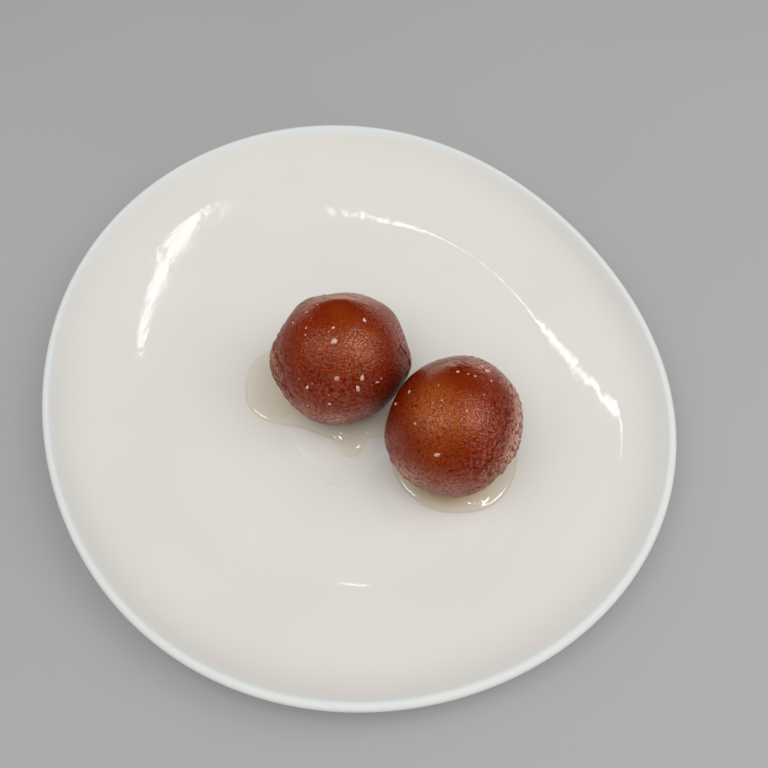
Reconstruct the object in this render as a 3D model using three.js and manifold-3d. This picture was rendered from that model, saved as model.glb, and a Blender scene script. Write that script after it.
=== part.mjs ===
// Two gulab jamun in their syrup, on a pebble-shaped coupe plate of glazed porcelain.
// Millimetres, +Z up. The origin is on the table, under the middle of the plate's outline.
// The diner sits on the -Y side.
import * as THREE from "three";
import { mergeVertices } from "three/addons/utils/BufferGeometryUtils.js";
import Module from "manifold-3d";

const wasm = await Module();
wasm.setup();

// ---- Driving dimensions ----

const PLATE = {
  meanRadius: 103.7, // to the outside of the lip, before the pebble outline pulls it in and out
  floorHeight: 6.5, // table to the flat floor that the food lies on
  floorRadius: 61.5, // where the flat floor starts to turn up
  shelfRadius: 70, // from here the wall is an even, gentle slope
  shelfTilt: 9, // degrees from level
  upturnRadius: 84, // from here it curves up to the lip
  lipTilt: 42, // degrees from level, where the wall reaches the lip
  upturnPower: 1.3, // how late the upturn comes
  lipThickness: 3.4,
  floorThickness: 4,
  footWidth: 4.5, // the ring that the plate stands on
  footSlope: 1, // how far the foot's two sides lean in towards its flat face
  segments: 84,
};

// The outline swells and shrinks as it goes round: two turns make it oval, three make it a pebble
// with one blunt side, and four square its shoulders a little. Peaks are in degrees from +X.
const OUTLINE_WAVES = [
  { turns: 2, share: 0.0467, peak: -59.7 },
  { turns: 3, share: 0.0123, peak: -12.6 },
  { turns: 4, share: 0.0037, peak: -21.6 },
];

// Each ball is a soft ellipsoid that rests on the plate and leans on its neighbour.
// The dents (and swellings, with a negative depth) are where the fried skin has set unevenly.
const SAG = 0.96; // height of a ball's middle over the plate, as a share of its upright half-width
const BALLS = {
  left: {
    middle: { x: -4.4, y: -2.3 },
    halfWidths: { x: 21.1, y: 20.8, z: 20.9 },
    dents: [
      { azimuth: 153, elevation: 14, depth: 1.1, spread: 18 },
      { azimuth: 128, elevation: 22, depth: -0.3, spread: 17 },
      { azimuth: 100, elevation: 28, depth: 1.2, spread: 17 },
      { azimuth: 38, elevation: 18, depth: -0.9, spread: 18 },
      { azimuth: -5, elevation: -3, depth: -1.5, spread: 16 },
      { azimuth: 183, elevation: -1, depth: -1, spread: 18 },
      { azimuth: 250, elevation: -27, depth: -0.9, spread: 27 },
    ],
  },
  right: {
    middle: { x: 30.8, y: -26.35 },
    halfWidths: { x: 20.05, y: 20.85, z: 20.5 },
    dents: [
      { azimuth: 45, elevation: 20, depth: -0.9, spread: 32 },
      { azimuth: 22, elevation: 11, depth: -0.65, spread: 16 },
      { azimuth: -40, elevation: -19, depth: 1.3, spread: 26 },
      { azimuth: 211, elevation: -15, depth: -1.1, spread: 31 },
      { azimuth: 188, elevation: -4, depth: -0.9, spread: 18 },
      { azimuth: 74, elevation: 27, depth: -0.85, spread: 27 },
      { azimuth: -90, elevation: -28, depth: -0.45, spread: 22 },
    ],
  },
};
const BALL_GAP = 0.3; // left between the two balls' flattened cheeks
const BALL_SEGMENTS = { around: 44, upright: 28 };

// Syrup has run out from under each ball. Its edge is a circle with a bulge for each lobe.
const SYRUP = {
  depth: 1.2,
  gapToBall: 0.3,
  edge: [1, 0.985, 0.95, 0.9, 0.8], // where the rounded edge is cut into facets, of the way out
  edgePower: 10, // how squarely the edge drops to the plate
  segments: 72,
};
const POOLS = {
  left: {
    radius: 15,
    lobes: [
      { azimuth: 177, reach: 17.8, spread: 42 },
      { azimuth: 265, reach: 4.2, spread: 44 },
      { azimuth: 279, reach: 6.6, spread: 12 },
      { azimuth: 315, reach: 6.2, spread: 20 },
    ],
  },
  right: {
    radius: 14.7,
    lobes: [
      { azimuth: -14, reach: 6.8, spread: 47 },
      { azimuth: 275, reach: 5.5, spread: 40 },
      { azimuth: 205, reach: 4.7, spread: 40 },
    ],
  },
};

const COLOURS = {
  porcelain: new THREE.MeshStandardMaterial({ color: 0xe4e1da, roughness: 0.12, metalness: 0 }),
  friedSkin: new THREE.MeshStandardMaterial({ color: 0x86310e, roughness: 0.32, metalness: 0 }),
  syrup: new THREE.MeshStandardMaterial({ color: 0xd9cf9e, roughness: 0.05, metalness: 0 }),
};

// ---- Shared helpers ----

const radians = THREE.MathUtils.degToRad;

// A bell that is 1 at no distance and falls away over the spread, both in degrees.
// A higher power gives it a flatter top.
const bell = (distance, spread, power) => Math.exp(-((distance / spread) ** power));

// The short way round from one bearing to another, in degrees.
function bearingBetween(a, b) {
  return Math.abs(((a - b + 540) % 360) - 180);
}

function bearingOf(x, y) {
  return THREE.MathUtils.radToDeg(Math.atan2(y, x));
}

function directionOf(azimuth, elevation) {
  const level = Math.cos(radians(elevation));
  return new THREE.Vector3(
    level * Math.cos(radians(azimuth)),
    level * Math.sin(radians(azimuth)),
    Math.sin(radians(elevation)),
  );
}

// Spins a profile of (radius, height) points about Z, then stretches each spoke by stretch(bearing).
function spun(profile, segments, stretch) {
  const geometry = new THREE.LatheGeometry(profile, segments);
  geometry.rotateX(Math.PI / 2);
  const position = geometry.getAttribute("position");
  for (let i = 0; i < position.count; i++) {
    const x = position.getX(i);
    const y = position.getY(i);
    const scale = stretch(bearingOf(x, y));
    position.setXYZ(i, x * scale, y * scale, position.getZ(i));
  }
  return geometry;
}

// A three.js geometry as a manifold-3d solid, and back.
function solidFrom(geometry) {
  const bare = geometry.clone();
  bare.deleteAttribute("normal");
  bare.deleteAttribute("uv");
  const merged = mergeVertices(bare, 1e-4);
  return new wasm.Manifold(
    new wasm.Mesh({
      numProp: 3,
      vertProperties: merged.getAttribute("position").array,
      triVerts: new Uint32Array(merged.index.array),
    }),
  );
}

function geometryFrom(solid) {
  const mesh = solid.getMesh();
  const geometry = new THREE.BufferGeometry();
  geometry.setAttribute("position", new THREE.BufferAttribute(mesh.vertProperties, mesh.numProp));
  geometry.setIndex(new THREE.BufferAttribute(mesh.triVerts, 1));
  geometry.computeVertexNormals();
  return geometry;
}

// ---- Plate ----

function outlineStretch(bearing) {
  const swell = (wave) => wave.share * Math.cos(wave.turns * radians(bearing - wave.peak));
  return OUTLINE_WAVES.reduce((sum, wave) => sum + swell(wave), 1);
}

// The lip is half a circle, so the wall stops short of the full radius.
const HALF_LIP = PLATE.lipThickness / 2;
const WALL_END = PLATE.meanRadius - HALF_LIP * (1 + Math.sin(radians(PLATE.lipTilt)));

// The tilt of the wall's inner face from level: level on the floor, an even slope on the shelf,
// and then steeper and steeper up to the lip.
function wallTilt(radius) {
  const { floorRadius, shelfRadius, shelfTilt, upturnRadius, lipTilt, upturnPower } = PLATE;
  const onShelf = THREE.MathUtils.smoothstep(radius, floorRadius, shelfRadius);
  const upturn = Math.max(0, radius - upturnRadius) / (WALL_END - upturnRadius);
  return radians(shelfTilt * onShelf + (lipTilt - shelfTilt) * upturn ** upturnPower);
}

// The wall's inner face, from the floor's edge (way 0) to the lip (way 1), with its tilt.
// Its height is the sum of the climbs of many short steps from the floor's edge.
function wallAt(way) {
  const steps = 40;
  const step = ((WALL_END - PLATE.floorRadius) * way) / steps;
  let height = PLATE.floorHeight;
  for (let i = 0; i < steps; i++) {
    height += step * Math.tan(wallTilt(PLATE.floorRadius + step * (i + 0.5)));
  }
  const radius = PLATE.floorRadius + step * steps;
  return { radius, height, tilt: wallTilt(radius) };
}

// The matching point of the wall's outer face, one wall thickness below.
function wallUnder(way) {
  const { radius, height, tilt } = wallAt(way);
  const thickness = THREE.MathUtils.lerp(PLATE.floorThickness, PLATE.lipThickness, way);
  return new THREE.Vector2(
    radius + thickness * Math.sin(tilt),
    height - thickness * Math.cos(tilt),
  );
}

function plateProfile() {
  const wallSteps = 10;
  const lipSteps = 6;
  const footHeight = PLATE.floorHeight - PLATE.floorThickness;
  const footOuter = PLATE.floorRadius;
  const footInner = footOuter - PLATE.footWidth;
  const points = [
    new THREE.Vector2(0, footHeight),
    new THREE.Vector2(footInner, footHeight),
    new THREE.Vector2(footInner + PLATE.footSlope, 0),
    new THREE.Vector2(footOuter - PLATE.footSlope, 0),
  ];
  for (let i = 0; i < wallSteps; i++) points.push(wallUnder(i / wallSteps));

  // The lip turns half a circle, from the outer face over to the inner one.
  const rim = wallAt(1);
  const lipMiddle = new THREE.Vector2(
    rim.radius + HALF_LIP * Math.sin(rim.tilt),
    rim.height - HALF_LIP * Math.cos(rim.tilt),
  );
  for (let i = 0; i <= lipSteps; i++) {
    const turn = rim.tilt - Math.PI / 2 + (Math.PI * i) / lipSteps;
    points.push(
      new THREE.Vector2(
        lipMiddle.x + HALF_LIP * Math.cos(turn),
        lipMiddle.y + HALF_LIP * Math.sin(turn),
      ),
    );
  }
  for (let i = wallSteps - 1; i >= 0; i--) {
    const { radius, height } = wallAt(i / wallSteps);
    points.push(new THREE.Vector2(radius, height));
  }
  points.push(new THREE.Vector2(0, PLATE.floorHeight));
  return points;
}

function plateMesh() {
  const geometry = spun(plateProfile(), PLATE.segments, outlineStretch);
  // The pebble outline isn't even about its spin axis, so it is moved until its box is.
  geometry.computeBoundingBox();
  const middle = geometry.boundingBox.getCenter(new THREE.Vector3());
  geometry.translate(-middle.x, -middle.y, 0);
  return new THREE.Mesh(geometry, COLOURS.porcelain);
}

// ---- Gulab jamun ----

// The faces that press a ball flat, as outward directions and their distance from its middle.
function restsOf(ball, neighbour) {
  const toNeighbour = new THREE.Vector3(
    neighbour.middle.x - ball.middle.x,
    neighbour.middle.y - ball.middle.y,
    0,
  );
  const apart = toNeighbour.length();
  const direction = toNeighbour.normalize();
  const reach = (b) => halfWidthAlong(b, direction);
  const squeezed = reach(ball) + reach(neighbour) + BALL_GAP - apart;
  return [
    { direction: new THREE.Vector3(0, 0, -1), distance: SAG * ball.halfWidths.z },
    { direction, distance: reach(ball) - squeezed / 2 },
  ];
}

function halfWidthAlong({ halfWidths }, direction) {
  return 1 / Math.hypot(
    direction.x / halfWidths.x,
    direction.y / halfWidths.y,
    direction.z / halfWidths.z,
  );
}

function ballRadius(ball, rests, direction) {
  let radius = halfWidthAlong(ball, direction);
  for (const dent of ball.dents) {
    const away = direction.angleTo(directionOf(dent.azimuth, dent.elevation));
    radius -= dent.depth * bell(THREE.MathUtils.radToDeg(away), dent.spread, 2);
  }
  for (const rest of rests) {
    const facing = direction.dot(rest.direction);
    if (facing > 0) radius = Math.min(radius, rest.distance / facing);
  }
  return radius;
}

// The ball about its own middle, grown all over by clearance.
function ballGeometry(ball, neighbour, clearance = 0) {
  const geometry = new THREE.SphereGeometry(1, BALL_SEGMENTS.around, BALL_SEGMENTS.upright);
  geometry.rotateX(Math.PI / 2);
  const rests = restsOf(ball, neighbour);
  const position = geometry.getAttribute("position");
  const direction = new THREE.Vector3();
  for (let i = 0; i < position.count; i++) {
    direction.fromBufferAttribute(position, i).normalize();
    direction.multiplyScalar(ballRadius(ball, rests, direction) + clearance);
    position.setXYZ(i, direction.x, direction.y, direction.z);
  }
  geometry.computeVertexNormals();
  return geometry;
}

function ballHeight(ball) {
  return PLATE.floorHeight + SAG * ball.halfWidths.z;
}

function ballMesh(ball, neighbour) {
  const mesh = new THREE.Mesh(ballGeometry(ball, neighbour), COLOURS.friedSkin);
  mesh.position.set(ball.middle.x, ball.middle.y, ballHeight(ball));
  return mesh;
}

// ---- Syrup ----

function poolReach(pool, bearing) {
  const bulge = (lobe) => lobe.reach * bell(bearingBetween(bearing, lobe.azimuth), lobe.spread, 3);
  return pool.lobes.reduce((sum, lobe) => sum + bulge(lobe), pool.radius);
}

// A flat pool with a rounded edge, one unit across until it is stretched to its outline.
function poolProfile() {
  const points = [new THREE.Vector2(0, 0)];
  for (const way of SYRUP.edge) {
    points.push(new THREE.Vector2(way, SYRUP.depth * Math.sqrt(1 - way ** SYRUP.edgePower)));
  }
  points.push(new THREE.Vector2(0, SYRUP.depth));
  return points;
}

function syrupMesh(pool, ball, neighbour) {
  const flat = spun(poolProfile(), SYRUP.segments, (bearing) => poolReach(pool, bearing));
  flat.translate(0, 0, PLATE.floorHeight);
  const resting = ballGeometry(ball, neighbour, SYRUP.gapToBall);
  resting.translate(0, 0, ballHeight(ball));
  const solid = solidFrom(flat).subtract(solidFrom(resting));
  const mesh = new THREE.Mesh(geometryFrom(solid), COLOURS.syrup);
  mesh.position.set(ball.middle.x, ball.middle.y, 0);
  return mesh;
}

// ---- The whole serving ----

const serving = new THREE.Group();

function addNode(name, mesh) {
  mesh.name = name;
  serving.add(mesh);
}

addNode("plate", plateMesh());
for (const [side, other] of [["left", "right"], ["right", "left"]]) {
  addNode("gulab_jamun_" + side, ballMesh(BALLS[side], BALLS[other]));
  addNode("syrup_" + side, syrupMesh(POOLS[side], BALLS[side], BALLS[other]));
}

export default serving;
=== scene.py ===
# Gulab jamun in their syrup, on a pebble-shaped coupe plate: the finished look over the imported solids.
# Sizes are in millimetres and become metres where a mesh is made.
import math
import random

import bmesh
import bpy
from mathutils import Euler, Matrix, Vector, noise


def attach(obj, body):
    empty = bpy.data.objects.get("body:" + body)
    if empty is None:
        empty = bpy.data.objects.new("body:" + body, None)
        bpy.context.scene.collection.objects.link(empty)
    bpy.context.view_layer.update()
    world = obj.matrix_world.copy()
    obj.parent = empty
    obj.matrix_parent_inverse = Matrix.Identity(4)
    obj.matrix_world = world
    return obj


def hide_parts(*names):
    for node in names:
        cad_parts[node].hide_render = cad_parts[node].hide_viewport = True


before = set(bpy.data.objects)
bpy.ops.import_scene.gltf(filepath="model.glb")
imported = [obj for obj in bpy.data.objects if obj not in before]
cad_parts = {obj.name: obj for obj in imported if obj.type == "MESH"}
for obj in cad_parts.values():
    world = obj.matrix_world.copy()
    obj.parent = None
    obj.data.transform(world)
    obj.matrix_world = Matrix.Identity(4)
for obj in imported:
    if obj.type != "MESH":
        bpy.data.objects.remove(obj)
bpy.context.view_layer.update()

MM = 0.001


# ---- Sizes: the solids', with a wall that bends a little more evenly ----

PLATE = {
    "mean_radius": 103.7,
    "floor_height": 6.5,
    "floor_radius": 61.5,
    "shelf_radius": 70,
    "shelf_tilt": 9.46,
    "shelf_steepening": 0.193,  # degrees for each millimetre
    "upturn_radius": 88,
    "lip_tilt": 42,
    "upturn_power": 1.4,
    "lip_thickness": 3.4,
    "floor_thickness": 4,
    "foot_width": 4.5,
    "foot_slope": 1,
    "foot_rounding": 0.45,
}
OUTLINE_WAVES = [(2, 0.0467, -59.7), (3, 0.0123, -12.6), (4, 0.0037, -21.6)]  # turns, share, peak
WAVE_GROWTH = 2.13  # the well is nearly round, and the waves grow towards the lip with this power

SAG = 0.96  # a ball lies so flat that its middle is at this share of its half height
BALL_GAP = 0.3
# Dents are azimuth, elevation, depth and spread. The other places are azimuth, elevation, strength and
# spread: rough where the skin blistered and shrivelled; frosted, pale with sugar that set on it and with
# painted reflection of the plate on its rims; smooth where the syrup lies thick over its grain, and the
# skin there is painted darker, as shade on its far top; and tanned, painted a paler brown as painted light
# where the lamps' sheens fall. Folds are the larger creases, each through points of azimuth and elevation.
BALLS = {
    "left": {
        "middle": (-4.4, -2.3),
        "half_widths": (21.1, 20.8, 20.9),
        "dents": [
            (153, 14, 1.1, 18),
            (128, 22, -0.3, 17),
            (100, 28, 1.2, 17),
            (38, 18, -0.9, 18),
            (-5, -3, -1.5, 16),
            (183, -1, -1, 18),
            (250, -27, -0.9, 27),
        ],
        "rough": [(188, 2, 1.0, 30), (2, 22, 0.7, 16), (110, 25, 0.5, 26), (-90, 12, 0.4, 40)],
        "sugar_and_painted_reflection": [
            (-92, -4, 0.6, 11),
            (-115, -2, 0.35, 16),
            (-68, 2, 0.3, 14),
            (10, 25, 0.4, 14),
            (60, 36, 0.5, 14),
            (88, 40, 0.4, 16),
            (118, 38, 0.6, 14),
            (-170, 10, 0.5, 20),
        ],
        "smooth": [(88, 60, 1.0, 26)],
        "painted_sheen": [(-68, 68, 0.5, 20), (-35, 60, 0.5, 16), (90, 78, 0.3, 10)],
        "folds": [
            [(142, 27), (135, 39), (124, 46)],
            [(-4, 27), (-6, 15), (-9, 3), (-20, 5)],
            [(177, 16), (-162, 24), (-148, 24)],
            [(-160, -3), (-144, 12), (-131, 9)],
        ],
    },
    "right": {
        "middle": (30.8, -26.35),
        "half_widths": (20.05, 20.85, 20.5),
        "dents": [
            (45, 20, -0.9, 32),
            (22, 11, -0.65, 16),
            (-40, -19, 1.3, 26),
            (211, -15, -1.1, 31),
            (188, -4, -0.9, 18),
            (74, 27, -0.85, 27),
            (-90, -28, -0.45, 22),
        ],
        "rough": [(-12, 14, 1.0, 32), (-62, 12, 0.9, 26), (215, -10, 0.6, 26), (75, 32, 0.4, 24)],
        "sugar_and_painted_reflection": [
            (30, 30, 0.7, 12),
            (8, 25, 0.95, 12),
            (-14, 24, 0.95, 13),
            (-34, 18, 1.0, 14),
            (-60, 4, 0.4, 18),
            (-95, 6, 0.3, 16),
            (-125, 2, 0.4, 16),
            (-141, -5, 0.6, 12),
            (62, 38, 0.5, 13),
            (95, 24, 0.6, 14),
        ],
        "smooth": [(90, 52, 1.0, 26)],
        "painted_sheen": [(-158, 62, 1.0, 22), (170, 66, 0.5, 16), (-78, 72, 0.7, 18), (-115, 38, 0.35, 16)],
        "folds": [
            [(-11, 42), (-34, 42), (-54, 36), (-62, 30), (-72, 26), (-83, 31), (-100, 27)],
            [(50, 27), (34, 23), (11, 37)],
        ],
    },
}

# Lobes are azimuth, reach and spread. Beads, small swellings that catch the light, are azimuth,
# distance from the ball's axis, width and height. Amber is how much the pool is coloured, deepest by the
# ball, partly as painted reflection and shade of the ball, and its stains, painted shade and painted
# light, are azimuth, distance, width and how much deeper their colour is, or paler if below 0.
POOLS = {
    "left": {
        "amber": 0.5,
        "painted_shading": [(178, 26, 12, -0.06)],
        "radius": 15,
        "lobes": [(177, 17.8, 42), (265, 4.2, 44), (279, 6.6, 12), (315, 6.2, 20)],
        "beads": [
            (-89, 17.3, 2.6, 1.0),
            (-66, 16.8, 3.0, 1.1),
            (-62, 19.4, 2.4, 0.95),
            (-86, 23.6, 3.0, 1.1),
            (-73, 22.6, 2.6, 1.0),
        ],
    },
    "right": {
        "amber": 1,
        "painted_shading": [(-98, 14, 15, 0.5), (-128, 13, 10, 0.3)],
        "radius": 14.7,
        "lobes": [(-14, 6.8, 47), (275, 5.5, 40), (205, 4.7, 40)],
        "beads": [(-76, 17.4, 2.2, 0.7), (-66, 19, 2.6, 0.85), (-58, 18.2, 2.0, 0.65), (-62, 16.6, 2.0, 0.6)],
    },
}


# ---- Shared helpers for shapes ----


def bell(distance, spread, power):
    """1 at no distance, falling away over the spread. A higher power gives it a flatter top."""
    return math.exp(-((distance / spread) ** power))


def smoothstep(value, low, high):
    way = min(1, max(0, (value - low) / (high - low)))
    return way * way * (3 - 2 * way)


def bearing_of(x, y):
    return math.degrees(math.atan2(y, x))


def bearing_between(a, b):
    return abs((a - b + 540) % 360 - 180)


def direction_of(azimuth, elevation):
    level = math.cos(math.radians(elevation))
    return Vector(
        (
            level * math.cos(math.radians(azimuth)),
            level * math.sin(math.radians(azimuth)),
            math.sin(math.radians(elevation)),
        )
    )


def spun(profile, steps):
    """A bmesh in millimetres: a profile of (radius, height) points spun about Z and closed at its poles."""
    shape = bmesh.new()
    points = [shape.verts.new((radius, 0, height)) for radius, height in profile]
    edges = [shape.edges.new(pair) for pair in zip(points, points[1:])]
    bmesh.ops.spin(
        shape,
        geom=points + edges,
        axis=(0, 0, 1),
        cent=(0, 0, 0),
        angle=math.tau,
        steps=steps,
        use_merge=True,
    )
    bmesh.ops.remove_doubles(shape, verts=shape.verts, dist=1e-4)
    return shape


def finished(name, shape, materials, body="root"):
    """The bmesh, from millimetres to metres, as a smooth-shaded piece on a body."""
    bmesh.ops.recalc_face_normals(shape, faces=shape.faces)
    bmesh.ops.scale(shape, vec=(MM, MM, MM), verts=shape.verts)
    mesh = bpy.data.meshes.new(name)
    shape.to_mesh(mesh)
    shape.free()
    mesh.shade_smooth()
    for material in materials:
        mesh.materials.append(material)
    piece = bpy.data.objects.new(name, mesh)
    bpy.context.scene.collection.objects.link(piece)
    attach(piece, body)
    return piece


# ---- Shared helpers for materials ----


def new_tree(name):
    material = bpy.data.materials.new(name)
    material.use_nodes = True
    material.node_tree.nodes.clear()
    return material, material.node_tree


def add(tree, kind, settings=None, **inputs):
    """A node with its settings, and its inputs as numbers, colours or other nodes' outputs.
    An input's name has _ for each space."""
    made = tree.nodes.new(kind)
    for key, value in (settings or {}).items():
        setattr(made, key, value)
    for key, value in inputs.items():
        feed(tree, made.inputs[key.replace("_", " ")], value)
    return made


def feed(tree, socket, value):
    if isinstance(value, bpy.types.NodeSocket):
        tree.links.new(value, socket)
    else:
        socket.default_value = value


def object_place(tree):
    return add(tree, "ShaderNodeTexCoord").outputs["Object"]


def painted(tree, name):
    """The value that the mesh's vertices carry under this name."""
    return add(tree, "ShaderNodeAttribute", {"attribute_name": name}).outputs["Fac"]


def mix_colour(tree, amount, first, second, blend="MIX"):
    made = add(tree, "ShaderNodeMix", {"data_type": "RGBA", "blend_type": blend})
    for socket, value in zip((made.inputs[0], made.inputs[6], made.inputs[7]), (amount, first, second)):
        feed(tree, socket, value)
    return made.outputs[2]


def tinted(tree, colour, tint):
    return mix_colour(tree, 1.0, colour, tint, "MULTIPLY")


def ramp(tree, value, low, high, interpolation="LINEAR"):
    """0 where the value is low, rising to 1 where it is high."""
    settings = {"interpolation_type": interpolation}
    return add(tree, "ShaderNodeMapRange", settings, Value=value, From_Min=low, From_Max=high).outputs[0]


def sum_of(tree, *parts):
    """The sum of outputs, each times its factor."""
    total = 0.0
    for output, factor in parts:
        made = add(tree, "ShaderNodeMath", {"operation": "MULTIPLY_ADD"})
        for socket, value in zip(made.inputs, (output, factor, total)):
            feed(tree, socket, value)
        total = made.outputs[0]
    return total


def bumped(tree, height, depth, strength, invert=False):
    """The normal of a surface that stands out by the depth, in metres, where the height is 1."""
    made = add(tree, "ShaderNodeBump", {"invert": invert}, Strength=strength, Distance=depth, Height=height)
    return made.outputs[0]


def principled(tree, **inputs):
    return add(tree, "ShaderNodeBsdfPrincipled", **inputs).outputs[0]


def show(tree, surface):
    add(tree, "ShaderNodeOutputMaterial", Surface=surface)


NOISE_RANGE = (0.3, 0.7)  # nearly all of a noise texture lies between these


def drift_group():
    """A mask that drifts over a surface from Low to High, in patches about one over Scale metres across."""
    tree = bpy.data.node_groups.new("drift", "ShaderNodeTree")
    face = tree.interface
    face.new_socket("Vector", in_out="INPUT", socket_type="NodeSocketVector")
    for name, default in (("Scale", 100.0), ("Detail", 3.0), ("Low", 0.0), ("High", 1.0)):
        face.new_socket(name, in_out="INPUT", socket_type="NodeSocketFloat").default_value = default
    face.new_socket("Mask", in_out="OUTPUT", socket_type="NodeSocketFloat")
    given = tree.nodes.new("NodeGroupInput").outputs
    cloud = add(
        tree, "ShaderNodeTexNoise", Vector=given["Vector"], Scale=given["Scale"], Detail=given["Detail"]
    )
    spread = add(
        tree,
        "ShaderNodeMapRange",
        Value=cloud.outputs["Fac"],
        From_Min=NOISE_RANGE[0],
        From_Max=NOISE_RANGE[1],
        To_Min=given["Low"],
        To_Max=given["High"],
    )
    add(tree, "NodeGroupOutput", Mask=spread.outputs[0])
    return tree


DRIFT = drift_group()


def drift(tree, vector, scale, detail=3.0, low=0.0, high=1.0):
    made = add(
        tree,
        "ShaderNodeGroup",
        {"node_tree": DRIFT},
        Vector=vector,
        Scale=scale,
        Detail=detail,
        Low=low,
        High=high,
    )
    return made.outputs["Mask"]


# ---- Materials: colours are linear ----

GLAZE = {"warm": (0.800, 0.775, 0.715, 1), "cream": (0.815, 0.795, 0.745, 1), "lip": (0.800, 0.815, 0.790, 1)}
LIP_GLAZE_HEIGHTS = (15.2 * MM, 16.6 * MM)  # between these the glaze turns to the lip's colour
BARE_FOOT = {"stained": (0.62, 0.58, 0.50, 1), "clean": (0.72, 0.69, 0.62, 1)}

# The tints multiply the colour that they lie on.
SKIN = {
    "deep": (0.228, 0.0160, 0.0003, 1),
    "bright": (0.280, 0.0255, 0.0007, 1),
    # painted light, a paler brown where the lamps' sheens fall
    "painted_sheen": (0.385, 0.078, 0.011, 1),
    # painted shade underneath, towards the neighbour and in creases
    "painted_shade": (0.100, 0.005, 0.0004, 1),
    # sugar, and painted reflection of the plate on the rims
    "sugar_and_painted_reflection": (0.66, 0.37, 0.28, 1),
    # painted shade on the far top, where the grain is left out
    "far_top_painted_shade_tint": (0.72, 0.60, 0.30, 1),
    "crumb_tint": (0.90, 0.85, 0.85, 1),
    # painted shade in the grain's grooves
    "groove_painted_shade_tint": (0.30, 0.17, 0.15, 1),
    "gloss_tint": (1.0, 0.58, 0.33, 1),
}
CRUMBS_PER_METRE = 1250.0
GROOVES_PER_METRE = 850.0
GRAIN_DEPTH = 0.16 * MM

SYRUP = {"clear": (0.99, 0.985, 0.95, 1), "gold": (0.86, 0.68, 0.38, 1)}
CRYSTAL = {"wet": (0.50, 0.23, 0.17, 1), "dry": (0.82, 0.60, 0.53, 1)}
FLOOR = {"dim": (0.43, 0.43, 0.43, 1), "pale": (0.45, 0.45, 0.45, 1), "mirrored": (0.06, 0.06, 0.06, 1)}


def glaze_material():
    """Warm white glaze: nearly even, with a slow drift of tone and a faint orange peel in its gloss."""
    material, tree = new_tree("warm_white_glaze")
    place = object_place(tree)
    colour = mix_colour(tree, drift(tree, place, 22.0, 2.0), GLAZE["warm"], GLAZE["cream"])
    # The glaze turns paler and cooler where it rounds the lip.
    height = add(tree, "ShaderNodeSeparateXYZ", Vector=place).outputs["Z"]
    lip = ramp(tree, height, *LIP_GLAZE_HEIGHTS, "SMOOTHSTEP")
    peel = drift(tree, place, 55.0, 2.0)
    ripple = drift(tree, place, 330.0, 1.0)
    surface = principled(
        tree,
        Base_Color=mix_colour(tree, lip, colour, GLAZE["lip"]),
        Roughness=drift(tree, place, 60.0, 2.0, 0.02, 0.035),
        IOR=1.5,
        Normal=bumped(tree, sum_of(tree, (peel, 1.0), (ripple, 0.28)), 0.03 * MM, 0.25),
    )
    show(tree, surface)
    return material


def bare_foot_material():
    """The foot's flat face, wiped free of glaze: matt and fine-grained."""
    material, tree = new_tree("bare_foot")
    place = object_place(tree)
    stain = drift(tree, place, 60.0, 4.0)
    surface = principled(
        tree,
        Base_Color=mix_colour(tree, stain, BARE_FOOT["stained"], BARE_FOOT["clean"]),
        Roughness=drift(tree, place, 300.0, 3.0, 0.7, 0.9),
        Normal=bumped(tree, drift(tree, place, 1600.0, 4.0), 0.1 * MM, 0.5),
    )
    show(tree, surface)
    return material


def skin_grain(tree, place, amount):
    """Crumbs about a millimetre apart, pushed out of line, with fine grooves between and across them:
    how deep the skin lies between them, from 0 to about 1. It is smooth where the amount is 0."""
    push = add(tree, "ShaderNodeTexNoise", Vector=place, Scale=800.0, Detail=2.0).outputs["Color"]
    push = add(tree, "ShaderNodeVectorMath", {"operation": "SCALE"}, Vector=push, Scale=1.2 * MM)
    pushed = add(tree, "ShaderNodeVectorMath", {"operation": "ADD"})
    feed(tree, pushed.inputs[0], place)
    feed(tree, pushed.inputs[1], push.outputs[0])
    crumbs = add(tree, "ShaderNodeTexVoronoi", Vector=pushed.outputs[0], Scale=CRUMBS_PER_METRE)
    ridges = add(
        tree,
        "ShaderNodeTexNoise",
        {"noise_type": "RIDGED_MULTIFRACTAL"},
        Vector=place,
        Scale=GROOVES_PER_METRE,
        Detail=3.5,
        Roughness=0.6,
        Offset=1.0,
    )
    grooves = ramp(tree, ridges.outputs["Fac"], 0.8, 1.7)
    grain = add(tree, "ShaderNodeMath", {"operation": "MULTIPLY"})
    feed(tree, grain.inputs[0], sum_of(tree, (crumbs.outputs["Distance"], 0.6), (grooves, 0.5)))
    feed(tree, grain.inputs[1], amount)
    return grain.outputs[0]


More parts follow.
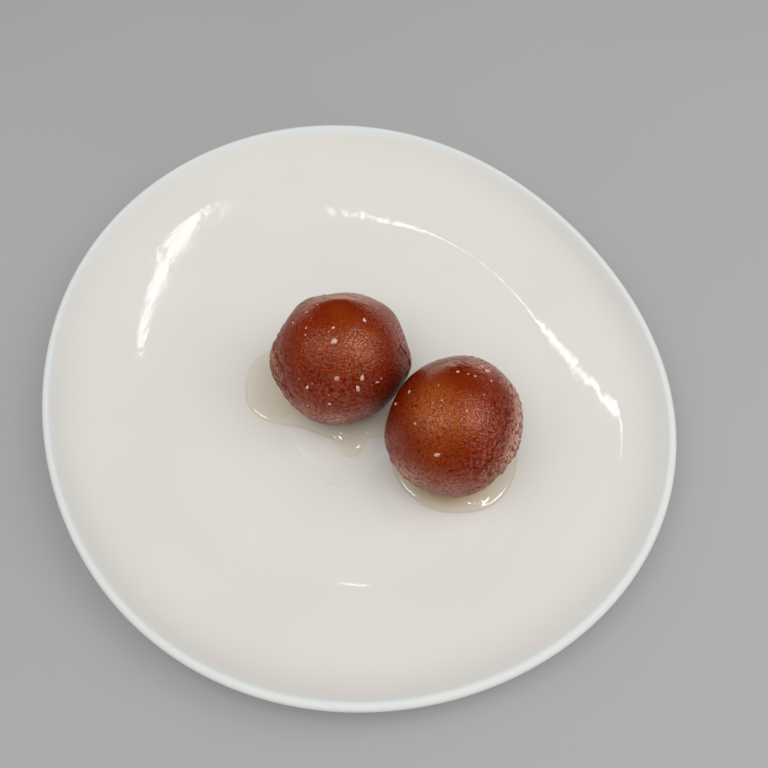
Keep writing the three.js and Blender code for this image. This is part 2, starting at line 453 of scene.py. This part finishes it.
def skin_colour(tree, place, amount, grain):
    """Red-brown in drifting patches, with painted shade on the far top where thick syrup leaves out the
    grain, and in the grain's grooves, and then tanned, toasted and frosted where the mesh is painted so:
    tanned is painted light, toasted is painted shade and frosted is sugar with painted reflection."""
    colour = mix_colour(tree, drift(tree, place, 90.0, 3.0), SKIN["deep"], SKIN["bright"])
    # Painted shade: darker on the far top, where the grain is left out.
    colour = mix_colour(tree, amount, tinted(tree, colour, SKIN["far_top_painted_shade_tint"]), colour)
    # Painted light: a paler brown where the lamps' sheens fall.
    colour = mix_colour(tree, painted(tree, "painted_sheen"), colour, SKIN["painted_sheen"])
    # Painted shade in the grain's grooves, lighter on its crumbs.
    crumb, groove = (tinted(tree, colour, SKIN[tint]) for tint in ("crumb_tint", "groove_painted_shade_tint"))
    colour = mix_colour(tree, ramp(tree, grain, 0.35, 0.95), crumb, groove)
    # Painted shade underneath, towards the neighbour and in creases.
    colour = mix_colour(tree, painted(tree, "painted_shade"), colour, SKIN["painted_shade"])
    # Sugar that set pale, with painted reflection of the plate on the rims and painted light on the flanks.
    return mix_colour(tree, painted(tree, "sugar_and_painted_reflection"), colour, SKIN["sugar_and_painted_reflection"])


def skin_material():
    """Fried milk-dough skin soaked in syrup: mottled red-brown, with a wet gloss that its grain breaks up."""
    material, tree = new_tree("syrup_soaked_skin")
    place = object_place(tree)
    amount = painted(tree, "grain")
    grain = skin_grain(tree, place, amount)
    wetness = drift(tree, place, 500.0, 3.0, 0.07, 0.13)
    surface = principled(
        tree,
        Base_Color=skin_colour(tree, place, amount, grain),
        Roughness=sum_of(tree, (wetness, 1.0), (amount, 0.07), (painted(tree, "sugar_and_painted_reflection"), 0.2)),
        IOR=1.36,
        Specular_Tint=SKIN["gloss_tint"],
        Subsurface_Weight=0.12,
        Subsurface_Radius=(1.0, 0.3, 0.1),
        Subsurface_Scale=1.2 * MM,
        Normal=bumped(tree, grain, GRAIN_DEPTH, 1.0, invert=True),
    )
    show(tree, surface)
    return material


def syrup_material():
    """Clear sugar syrup, faintly gold where it is deep and where shade and reflection are painted on it.
    Light passes it on its way to and from the plate.
    """
    material, tree = new_tree("sugar_syrup")
    place = object_place(tree)
    colour = mix_colour(tree, painted(tree, "depth"), SYRUP["clear"], SYRUP["gold"])
    wet = principled(
        tree,
        Base_Color=colour,
        Roughness=0.02,
        IOR=1.45,
        Transmission_Weight=1.0,
        Normal=bumped(tree, drift(tree, place, 260.0, 2.0), 0.2 * MM, 0.35),
    )
    passed = add(tree, "ShaderNodeBsdfTransparent", Color=colour).outputs[0]
    path = add(tree, "ShaderNodeLightPath").outputs
    passing = add(tree, "ShaderNodeMath", {"operation": "MAXIMUM"})
    feed(tree, passing.inputs[0], path["Is Shadow Ray"])
    feed(tree, passing.inputs[1], path["Is Diffuse Ray"])
    surface = add(tree, "ShaderNodeMixShader", Fac=passing.outputs[0])
    feed(tree, surface.inputs[1], wet)
    feed(tree, surface.inputs[2], passed)
    show(tree, surface.outputs[0])
    return material


def crystal_material():
    """Grains of milk solids and sugar left on the skin."""
    material, tree = new_tree("milk_and_sugar_grains")
    place = object_place(tree)
    surface = principled(
        tree,
        Base_Color=mix_colour(tree, drift(tree, place, 700.0, 2.0), CRYSTAL["wet"], CRYSTAL["dry"]),
        Roughness=drift(tree, place, 1200.0, 2.0, 0.25, 0.5),
        Subsurface_Weight=0.3,
        Subsurface_Radius=(1.0, 0.6, 0.4),
        Subsurface_Scale=0.5 * MM,
        Normal=bumped(tree, drift(tree, place, 2600.0, 3.0), 0.1 * MM, 0.5),
    )
    show(tree, surface)
    return material


def floor_material():
    """Pale to the eye, and dim where the serving mirrors it, so that its gloss keeps its contrast."""
    material, tree = new_tree("pale_floor")
    tone = drift(tree, object_place(tree), 6.0, 3.0)
    seen = mix_colour(tree, tone, FLOOR["dim"], FLOOR["pale"])
    mirrored = add(tree, "ShaderNodeLightPath").outputs["Is Glossy Ray"]
    colour = mix_colour(tree, mirrored, seen, FLOOR["mirrored"])
    show(tree, principled(tree, Base_Color=colour, Roughness=0.8))
    return material


# ---- Plate ----


def outline_stretch(bearing, radius):
    growth = min(1, radius / WALL_END) ** WAVE_GROWTH
    return 1 + growth * sum(
        share * math.cos(turns * math.radians(bearing - peak)) for turns, share, peak in OUTLINE_WAVES
    )


HALF_LIP = PLATE["lip_thickness"] / 2
WALL_END = PLATE["mean_radius"] - HALF_LIP * (1 + math.sin(math.radians(PLATE["lip_tilt"])))


def wall_tilt(radius):
    """The inner face's tilt: level on the floor, slowly steeper on the shelf, then fast up to the lip."""
    tilt = PLATE["shelf_tilt"] * smoothstep(radius, PLATE["floor_radius"], PLATE["shelf_radius"])
    tilt += PLATE["shelf_steepening"] * max(0, radius - PLATE["shelf_radius"])
    shelf_end = PLATE["shelf_tilt"] + PLATE["shelf_steepening"] * (WALL_END - PLATE["shelf_radius"])
    upturn = max(0, radius - PLATE["upturn_radius"]) / (WALL_END - PLATE["upturn_radius"])
    tilt += (PLATE["lip_tilt"] - shelf_end) * upturn ** PLATE["upturn_power"]
    return math.radians(tilt)


def wall_points(count):
    """The inner face from the floor's edge to the lip, as (radius, height, tilt)."""
    step = (WALL_END - PLATE["floor_radius"]) / count
    height = PLATE["floor_height"]
    points = [(PLATE["floor_radius"], height, 0)]
    for i in range(count):
        radius = PLATE["floor_radius"] + step * (i + 1)
        height += step * math.tan(wall_tilt(radius - step / 2))
        points.append((radius, height, wall_tilt(radius)))
    return points


def rounded(points, radius, steps=4):
    """The inner corners of a polyline, each replaced by an arc that meets both its sides."""
    made = [points[0]]
    for before, corner, after in zip(points, points[1:], points[2:]):
        corner = Vector(corner)
        towards = [(Vector(p) - corner).normalized() for p in (before, after)]
        for i in range(steps + 1):
            way = i / steps
            # A quadratic curve from one side to the other, pulled to the corner.
            offset = towards[0] * radius * (1 - way) ** 2 + towards[1] * radius * way**2
            made.append(tuple(corner + offset))
    return made + [points[-1]]


WALL_STEPS = 44
LIP_STEPS = 20
FLOOR_RINGS = (50, 25, 0)
SPIN_STEPS = 320


def plate_profile():
    wall = wall_points(WALL_STEPS)
    foot_height = PLATE["floor_height"] - PLATE["floor_thickness"]
    foot_outer = PLATE["floor_radius"]
    foot_inner = foot_outer - PLATE["foot_width"]
    foot = [
        (0, foot_height),
        (foot_inner, foot_height),
        (foot_inner + PLATE["foot_slope"], 0),
        (foot_outer - PLATE["foot_slope"], 0),
        (foot_outer, foot_height),
        (foot_outer + 3, foot_height),
    ]
    # The foot's last point only says which way the underside leads on.
    points = rounded(foot, PLATE["foot_rounding"])[:-1]
    # The wall's underside starts two steps out, clear of that rounding.
    for i, (radius, height, tilt) in enumerate(wall[2:], start=2):
        way = i / (len(wall) - 1)
        thickness = PLATE["floor_thickness"] + (PLATE["lip_thickness"] - PLATE["floor_thickness"]) * way
        points.append((radius + thickness * math.sin(tilt), height - thickness * math.cos(tilt)))
    end_radius, end_height, end_tilt = wall[-1]
    middle = (end_radius + HALF_LIP * math.sin(end_tilt), end_height - HALF_LIP * math.cos(end_tilt))
    for i in range(1, LIP_STEPS):
        turn = end_tilt - math.pi / 2 + math.pi * i / LIP_STEPS
        points.append((middle[0] + HALF_LIP * math.cos(turn), middle[1] + HALF_LIP * math.sin(turn)))
    points += [(radius, height) for radius, height, tilt in reversed(wall)]
    points += [(radius, PLATE["floor_height"]) for radius in FLOOR_RINGS]
    return points


def make_plate(glaze, bare):
    shape = spun(plate_profile(), SPIN_STEPS)
    for vert in shape.verts:
        scale = outline_stretch(bearing_of(vert.co.x, vert.co.y), vert.co.xy.length)
        vert.co.x *= scale
        vert.co.y *= scale
    # The outline isn't even about its spin axis, so it is moved until its box is.
    middle = [(min(values) + max(values)) / 2 for values in zip(*(vert.co.xy for vert in shape.verts))]
    bmesh.ops.translate(shape, vec=(-middle[0], -middle[1], 0), verts=shape.verts)
    # The foot's flat face is the bare one.
    for face in shape.faces:
        if all(vert.co.z < 0.05 for vert in face.verts):
            face.material_index = 1
    plate = finished("plate_glazed", shape, [glaze, bare])
    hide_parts("plate")
    return plate


# ---- Gulab jamun ----


def half_width_along(ball, direction):
    return 1 / math.hypot(*(part / half for part, half in zip(direction, ball["half_widths"])))


def ball_middle(ball):
    return Vector((*ball["middle"], PLATE["floor_height"] + SAG * ball["half_widths"][2]))


def rests_of(ball, neighbour):
    """The faces that press a ball flat, as outward directions and their distance from its middle."""
    apart = ball_middle(neighbour) - ball_middle(ball)
    apart.z = 0
    towards = apart.normalized()
    reach = half_width_along(ball, towards)
    squeezed = reach + half_width_along(neighbour, towards) + BALL_GAP - apart.length
    return [(Vector((0, 0, -1)), SAG * ball["half_widths"][2]), (towards, reach - squeezed / 2)]


def ball_radius(ball, direction):
    radius = half_width_along(ball, direction)
    for azimuth, elevation, depth, spread in ball["dents"]:
        away = math.degrees(direction.angle(direction_of(azimuth, elevation)))
        radius -= depth * bell(away, spread, 2)
    return radius


def strength_at(places, direction):
    strengths = [
        strength * bell(math.degrees(direction.angle(direction_of(azimuth, elevation))), spread, 2)
        for azimuth, elevation, strength, spread in places
    ]
    return min(1, sum(strengths))


# The skin's relief: heights or depths, and the widths of their patterns.
LUMP_HEIGHT, LUMP_WIDTH = 0.12, 8
KNOB_HEIGHT, ROUGH_KNOB_HEIGHT, KNOB_WIDTH = 0.05, 0.10, 3
CREASE_DEPTH, CREASE_LENGTH, CREASE_SPACING = 0.3, 4.5, 1.5
CREASE_SWAY, CREASE_SWAY_WIDTH = 0.9, 5
CREASE_EDGE = 0.09  # the creases lie where their noise is nearer to 0 than this
BLISTER_HEIGHT, BLISTER_WIDTH = 1.0, 1.2
PORE_DEPTH, PORE_WIDTH = 0.05, 0.7
SPECK_DEPTH, SPECK_WIDTH = 0.02, 0.5
NOISE_SHIFT = {"left": 0, "right": 40}  # how far each ball is moved through the noise, so that they differ


def skin_relief(place, rough, grain, shift):
    """How far the skin stands in or out, in millimetres, and how deep it lies in a crease, from 0 to 1.
    It has slow lumps, creases that run round the ball, blisters in rough places, and a fine grain."""
    moved = place + Vector((shift, 0, 0))
    knob_height = KNOB_HEIGHT + ROUGH_KNOB_HEIGHT * rough
    lumps = LUMP_HEIGHT * noise.noise(moved / LUMP_WIDTH) + knob_height * noise.noise(moved / KNOB_WIDTH)
    slanted = moved.z / CREASE_SPACING + CREASE_SWAY * noise.noise(moved / CREASE_SWAY_WIDTH)
    across = abs(noise.noise(Vector((moved.x / CREASE_LENGTH, moved.y / CREASE_LENGTH, slanted))))
    crease = smoothstep(CREASE_EDGE - across, 0, CREASE_EDGE) * rough
    blisters = rough * max(0, noise.noise(moved / BLISTER_WIDTH) - 0.1)
    pores = PORE_DEPTH * abs(noise.noise(moved / PORE_WIDTH)) + SPECK_DEPTH * noise.noise(moved / SPECK_WIDTH)
    return lumps - CREASE_DEPTH * crease + BLISTER_HEIGHT * blisters - grain * pores, crease


FOLD_DEPTH = 0.45
FOLD_STEP = 1.2  # degrees between the points that stand for a fold
FOLD_WIDTH = 2.0  # degrees from its deepest line to its edge
FOLD_WIDTH_DRIFT = 0.7  # of that width
FOLD_WANDER = 0.05  # of the ball's radius
FOLD_SEED = 1795511098
noise.seed_set(FOLD_SEED)  # noise_vector would otherwise take its offsets from the clock


def fold_points(ball):
    """Directions close together along a ball's folds."""
    points = []
    for fold in ball["folds"]:
        for start, end in zip(fold, fold[1:]):
            start, end = direction_of(*start), direction_of(*end)
            count = math.ceil(math.degrees(start.angle(end)) / FOLD_STEP)
            points += [start.slerp(end, i / count) for i in range(count)]
    return points


def fold_at(points, direction, shift):
    """How deep in a fold the skin lies, from 0 to 1. Noise makes the folds wander and come and go."""
    wander = noise.noise_vector(direction * 7 + Vector((shift, 0, 0)))
    moved = (direction + FOLD_WANDER * wander).normalized()
    away = math.degrees(math.acos(min(1, max(moved.dot(point) for point in points))))
    width = FOLD_WIDTH * (1 + FOLD_WIDTH_DRIFT * noise.noise(direction * 9))
    return smoothstep(width - away, 0, FOLD_WIDTH)


def pressed_flat(radius, direction, rests):
    """The radius, cut back to the flat faces that the ball rests with."""
    for outward, distance in rests:
        facing = direction.dot(outward)
        if facing > 0:
            radius = min(radius, distance / facing)
    return radius


def painted_shade_at(direction, rests, crease):
    """How much painted shade darkens the skin: underneath, towards its neighbour and in its creases."""
    underneath, beside = (outward.dot(direction) for outward, distance in rests)
    shade = 0.5 * smoothstep(underneath, 0.3, 0.95) + 0.45 * smoothstep(beside, 0.7, 0.95)
    return min(1, shade + 0.8 * crease)


FLECK_WIDTH = 0.9


def sugar_and_painted_reflection_at(sugar, place, rough, crease, shift):
    """How pale the skin is with sugar that set on it and with painted reflection of the plate, which the
    places given for frosted put on the rims. It lies in flecks, also where the skin is rough, there partly
    as painted light, and not in creases."""
    fleck = noise.noise(place / FLECK_WIDTH + Vector((9, shift, 0)))
    sugar_and_reflection_flecks = sugar * smoothstep(fleck, -0.6, 0.2)
    rough_sugar_and_painted_light = 0.4 * rough * smoothstep(fleck, -0.3, 0.4)
    return (1 - crease) * max(sugar_and_reflection_flecks, rough_sugar_and_painted_light)


GRID = 128  # quads along each edge of the cube that a ball is blown up from


def make_ball(side, other, skin):
    ball = BALLS[side]
    rests = rests_of(ball, BALLS[other])
    folds = fold_points(ball)
    shift = NOISE_SHIFT[side]
    shape = bmesh.new()
    layers = shape.verts.layers.float
    names = ("painted_shade", "painted_sheen", "sugar_and_painted_reflection", "grain")
    painted_shade, painted_sheen, sugar_and_painted_reflection, grain = (layers.new(name) for name in names)
    bmesh.ops.create_cube(shape, size=2)
    bmesh.ops.subdivide_edges(shape, edges=shape.edges, cuts=GRID - 1, use_grid_fill=True)
    for vert in shape.verts:
        # Tangents space the grid evenly over the ball.
        direction = Vector([math.tan(part * math.pi / 4) for part in vert.co]).normalized()
        rough = strength_at(ball["rough"], direction)
        vert[grain] = 1 - strength_at(ball["smooth"], direction)
        radius = ball_radius(ball, direction)
        relief, crease = skin_relief(direction * radius, rough, vert[grain], shift)
        fold = fold_at(folds, direction, shift)
        radius = pressed_flat(radius + (relief - FOLD_DEPTH * fold), direction, rests)
        crease = max(crease, fold)
        vert.co = direction * radius
        # Painted shade, painted light where the sheens fall, and sugar with painted reflection of the plate.
        vert[painted_shade] = painted_shade_at(direction, rests, crease)
        vert[painted_sheen] = strength_at(ball["painted_sheen"], direction)
        vert[sugar_and_painted_reflection] = sugar_and_painted_reflection_at(strength_at(ball["sugar_and_painted_reflection"], direction), vert.co, rough, crease, shift)
    bmesh.ops.translate(shape, vec=ball_middle(ball), verts=shape.verts)
    piece = finished("gulab_jamun_" + side + "_skin", shape, [skin])
    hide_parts("gulab_jamun_" + side)
    return piece


# The larger grains on the skins, as azimuth, elevation, width and length.
GRAINS = {
    "left": [
        (-97, 73, 1.5, 2.6),
        (-90, 43, 1.4, 1.6),
        (-63, 39, 1.1, 2.0),
        (-70, 31, 1.2, 2.2),
        (-119, 29, 0.9, 1.3),
        (-97, 18, 0.9, 1.0),
        (-50, 28, 0.6, 1.6),
        (150, 59, 0.9, 1.1),
        (-175, 64, 0.7, 0.9),
        (168, 49, 0.7, 0.9),
        (12, 67, 1.0, 1.6),
        (-119, 84, 0.8, 1.0),
    ],
    "right": [
        (50, 50, 1.6, 2.2),
        (59, 48, 1.0, 1.4),
        (161, 43, 1.0, 1.3),
        (-114, 39, 1.2, 2.1),
        (91, 65, 0.7, 0.9),
        (71, 66, 0.6, 0.8),
        (57, 65, 0.6, 0.7),
        (35, 56, 0.7, 0.8),
        (-155, 47, 0.7, 1.0),
        (169, 25, 0.9, 1.5),
    ],
}
SMALL_GRAINS = 16  # scattered on each ball
SMALL_GRAIN_SIZES = (0.25, 0.45)
GRAIN_SEED = 7


def add_grain(shape, ball, direction, width, length, draw):
    """A rough lump, sunk by half into the skin and lying along it."""
    made = bmesh.ops.create_icosphere(shape, subdivisions=2, radius=0.5)["verts"]
    wander = Vector((draw.uniform(0, 90), 0, 0))
    for vert in made:
        vert.co *= 1 + 0.5 * noise.noise(vert.co * 3 + wander)
    flat = Matrix.Diagonal((length, width, 0.5 * width, 1))
    spin = Matrix.Rotation(draw.uniform(0, math.pi), 4, "Z")
    stand = direction.to_track_quat("Z", "Y").to_matrix().to_4x4()
    place = ball_middle(ball) + direction * (ball_radius(ball, direction) + 0.02)
    bmesh.ops.transform(shape, matrix=Matrix.Translation(place) @ stand @ spin @ flat, verts=made)


def make_grains(material):
    draw = random.Random(GRAIN_SEED)
    shape = bmesh.new()
    for side, grains in GRAINS.items():
        ball = BALLS[side]
        for azimuth, elevation, width, length in grains:
            add_grain(shape, ball, direction_of(azimuth, elevation), width, length, draw)
        for _ in range(SMALL_GRAINS):
            direction = direction_of(draw.uniform(0, 360), draw.triangular(-5, 85, 35))
            size = draw.uniform(*SMALL_GRAIN_SIZES)
            add_grain(shape, ball, direction, size, size * draw.uniform(1, 1.6), draw)
    grains = finished("skin_grains", shape, [material])
    return grains


# ---- Syrup ----

ROUND_EDGE_HEIGHT = 0.6  # in the outer quarter of the edge
SLOPE_HEIGHT = 0.42  # over the whole of the edge
EDGE_WIDTH = 5
MEETING_RADIUS = 9.5  # how far from a ball's axis the syrup meets its underside
RISE_HEIGHT, RISE_WIDTH = 1.6, 1.6
SWELL_HEIGHT, SWELL_WIDTH = 0.06, 6
UNDERSIDE = -0.1  # just inside the porcelain, so that no air is left between them


def pool_reach(pool, bearing):
    return pool["radius"] + sum(
        reach * bell(bearing_between(bearing, azimuth), spread, 3) for azimuth, reach, spread in pool["lobes"]
    )


def spots_at(spots, place):
    """The sum of round spots, each an azimuth, a distance, a width and an amount, at a place on the plate."""
    return sum(
        amount * bell((place - distance * direction_of(azimuth, 0).xy).length, width / 2, 2)
        for azimuth, distance, width, amount in spots
    )


def pool_surface(pool, place, inward):
    """The height of a pool's top, and how deeply it is coloured, at a place from the ball's axis that
    lies inward from the pool's edge by that much: a rounded edge, nearly level, and a rise at the ball."""
    from_edge = min(1, max(0, inward / EDGE_WIDTH))
    rise = math.exp(-max(0, place.xy.length - MEETING_RADIUS) / RISE_WIDTH)
    round_edge = 1 - (1 - min(1, 4 * from_edge)) ** 2
    height = ROUND_EDGE_HEIGHT * round_edge + SLOPE_HEIGHT * from_edge
    height += SWELL_HEIGHT * from_edge * noise.noise(place / SWELL_WIDTH)
    height += RISE_HEIGHT * rise + spots_at(pool["beads"], place.xy)
    depth = 0.3 * smoothstep(0.16 - from_edge, 0, 0.1)  # a thin line of painted shade along the rim
    # Gold deepens inward and at the ball's rise, partly as painted reflection and shade of the ball.
    depth += pool["amber"] * (0.4 * from_edge + 0.6 * rise)
    # Painted shade and painted light in spots.
    depth += from_edge * spots_at(pool["painted_shading"], place.xy)
    return height, depth


POOL_RINGS = 48


def make_pool(side, material):
    """Syrup round the foot of a ball. Its rings lie closer together towards its edge."""
    ball, pool = BALLS[side], POOLS[side]
    ways = [1 - (i / POOL_RINGS) ** 2 for i in range(POOL_RINGS, -1, -1)]
    shape = spun([(way, 1) for way in ways] + [(1, 0), (0, 0)], 240)
    depth = shape.verts.layers.float.new("depth")
    for vert in shape.verts:
        way = vert.co.xy.length
        reach = pool_reach(pool, bearing_of(vert.co.x, vert.co.y))
        vert.co.x *= reach
        vert.co.y *= reach
        top = vert.co.z > 0.5
        vert.co.z, vert[depth] = pool_surface(pool, vert.co, (1 - way) * reach) if top else (UNDERSIDE, 0)
    place = (*ball["middle"], PLATE["floor_height"])
    bmesh.ops.translate(shape, vec=place, verts=shape.verts)
    piece = finished("syrup_" + side + "_pool", shape, [material])
    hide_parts("syrup_" + side)
    return piece


# Thin smears of syrup on the bare plate, each from one point to another, with a width.
SMEARS = [
    ((-9.2, -36.95), (-2.9, -37.95), 0.9),
    ((40.6, -52.05), (45.8, -46.95), 0.8),
    ((20.5, -54.65), (23.5, -55.95), 0.6),
]
SMEAR_HEIGHT = 0.25
SMEAR_BEND = 0.5


def make_smears(material):
    """Flat drops drawn out into strokes that bend and narrow a little on their way. They are too thin
    to be coloured, so their depth stays 0."""
    shape = bmesh.new()
    shape.verts.layers.float.new("depth")
    for start, end, width in SMEARS:
        start, end = Vector(start), Vector(end)
        along = end - start
        made = bmesh.ops.create_uvsphere(shape, u_segments=48, v_segments=16, radius=0.5)["verts"]
        for vert in made:
            way = vert.co.x + 0.5
            spread = width * (1.25 - 0.6 * way) * (1 + 0.5 * noise.noise(Vector((4 * way, width, 0))))
            sideways = vert.co.y * spread + SMEAR_BEND * math.sin(way * math.pi)
            place = start + along * way + along.orthogonal().normalized() * sideways
            vert.co = (*place, PLATE["floor_height"] - 0.02 + 2 * SMEAR_HEIGHT * vert.co.z)
    piece = finished("syrup_smears", shape, [material])
    return piece


# ---- Stage: in metres ----


def make_floor():
    shape = bmesh.new()
    bmesh.ops.create_circle(shape, cap_ends=True, radius=6, segments=96)
    mesh = bpy.data.meshes.new("floor")
    shape.to_mesh(mesh)
    shape.free()
    mesh.materials.append(floor_material())
    floor = bpy.data.objects.new("floor", mesh)
    bpy.context.scene.collection.objects.link(floor)


SERVING = Vector((0, 0, 0.02))


def add_lamp(name, place, size, radiance, lights="all", colour=(1, 1, 1)):
    """A rectangular lamp of that radiance, facing the serving. It lights all, or matt surfaces, or gloss."""
    lamp = bpy.data.lights.new(name, "AREA")
    lamp.shape = "RECTANGLE"
    lamp.size, lamp.size_y = size
    lamp.color = colour
    lamp.energy = radiance * math.pi * size[0] * size[1]
    placed = bpy.data.objects.new(name, lamp)
    placed.location = place
    placed.rotation_euler = (Vector(place) - SERVING).to_track_quat("Z", "Y").to_euler()
    placed.visible_camera = False
    placed.visible_diffuse = lights != "gloss"
    placed.visible_glossy = lights != "matt"
    placed.visible_transmission = lights != "matt"
    bpy.context.scene.collection.objects.link(placed)
    return placed


# Each lamp's name, place, size and radiance. These light matt surfaces alone, on every piece.
SOFT_LAMPS = [
    ("soft_top", (-0.25, -0.42, 1.38), (1.2, 1.2), 1.9),
    ("soft_left", (-1.0, -0.2, 1.5), (1.1, 1.5), 0.35),
    ("soft_right", (0.40, -0.08, 0.62), (0.44, 0.60), 2.0),
]
# These also have what they shine on, and a colour. They are seen in gloss alone: broad ones softly in
# the skins', small ones crisply in the syrup's. The card beyond the serving pales the skins' far rims.
SHINE_LAMPS = [
    ("shine_left", (-0.95, -0.19, 1.43), (1.0, 1.25), 6.2, "skins", (1, 1.05, 1.3)),
    ("shine_right", (0.41, -0.08, 0.60), (0.50, 0.58), 7.0, "skins", (1, 1.1, 1.7)),
    ("glint_left", (-0.93, -0.19, 1.40), (0.45, 0.60), 18.0, "syrups", (1, 1, 1)),
    ("glint_right", (0.40, -0.08, 0.585), (0.20, 0.24), 24.0, "syrups", (1, 1, 1)),
    ("far_card", (0.0, 0.165, 0.023), (0.40, 0.044), 2.6, "skins", (1, 0.9, 0.78)),
]
# A row of small lamps above the far side shines back from the plate's wall as thin arcs.
ROW_COUNT = 9
ROW_START = (-0.030, 0.408, 0.8)
ROW_END = (-0.037, 0.3715, 0.8)
ROW_LAMP_SIZE = (0.004, 0.004)
ROW_RADIANCE = 8.5


def shine_only_on(lamp, pieces):
    linked = bpy.data.collections.new("lit_by_" + lamp.name)
    for piece in pieces:
        linked.objects.link(piece)
    lamp.light_linking.receiver_collection = linked


def make_lights(skins, syrups):
    for lamp in SOFT_LAMPS:
        add_lamp(*lamp, lights="matt")
    for *lamp, shone_on, colour in SHINE_LAMPS:
        placed = add_lamp(*lamp, lights="gloss", colour=colour)
        shine_only_on(placed, skins if shone_on == "skins" else syrups)
    for i in range(ROW_COUNT):
        way = (i + 0.5) / ROW_COUNT
        place = [start + (end - start) * way for start, end in zip(ROW_START, ROW_END)]
        add_lamp("row_lamp_" + str(i), place, ROW_LAMP_SIZE, ROW_RADIANCE)


WORLD = {"seen": 0.62, "fill": 0.385, "mirrored": 0.012}


def make_world():
    """Pale to the eye, a soft fill for matt surfaces, and dim in reflections, as in a darkened studio."""
    world = bpy.data.worlds.new("studio")
    bpy.context.scene.world = world
    world.use_nodes = True
    tree = world.node_tree
    tree.nodes.clear()
    path = add(tree, "ShaderNodeLightPath").outputs
    level = WORLD["fill"]
    for ray, other in (("Is Glossy Ray", WORLD["mirrored"]), ("Is Camera Ray", WORLD["seen"])):
        choice = add(tree, "ShaderNodeMix")
        feed(tree, choice.inputs[0], path[ray])
        feed(tree, choice.inputs[2], level)
        feed(tree, choice.inputs[3], other)
        level = choice.outputs[0]
    backdrop = add(tree, "ShaderNodeBackground", Color=(1, 1, 1, 1), Strength=level)
    add(tree, "ShaderNodeOutputWorld", Surface=backdrop.outputs[0])


CAMERA_PLACE = (0.0094, -0.13713, 0.26229)
CAMERA_PITCH = 62  # degrees down
CAMERA_FIELD = 48  # degrees, square


def make_camera():
    """Looks down at the serving from the diner's side."""
    camera = bpy.data.cameras.new("camera")
    camera.sensor_width = 36
    camera.lens = camera.sensor_width / 2 / math.tan(math.radians(CAMERA_FIELD / 2))
    placed = bpy.data.objects.new("camera", camera)
    placed.location = CAMERA_PLACE
    placed.rotation_euler = Euler((math.radians(90 - CAMERA_PITCH), 0, 0))
    bpy.context.scene.collection.objects.link(placed)
    bpy.context.scene.camera = placed
    bpy.context.scene.view_settings.view_transform = "Standard"


make_plate(glaze_material(), bare_foot_material())
skin = skin_material()
skins = [make_ball("left", "right", skin), make_ball("right", "left", skin), make_grains(crystal_material())]
syrup = syrup_material()
syrups = [make_pool("left", syrup), make_pool("right", syrup), make_smears(syrup)]

make_camera()
make_world()
make_lights(skins, syrups)
make_floor()
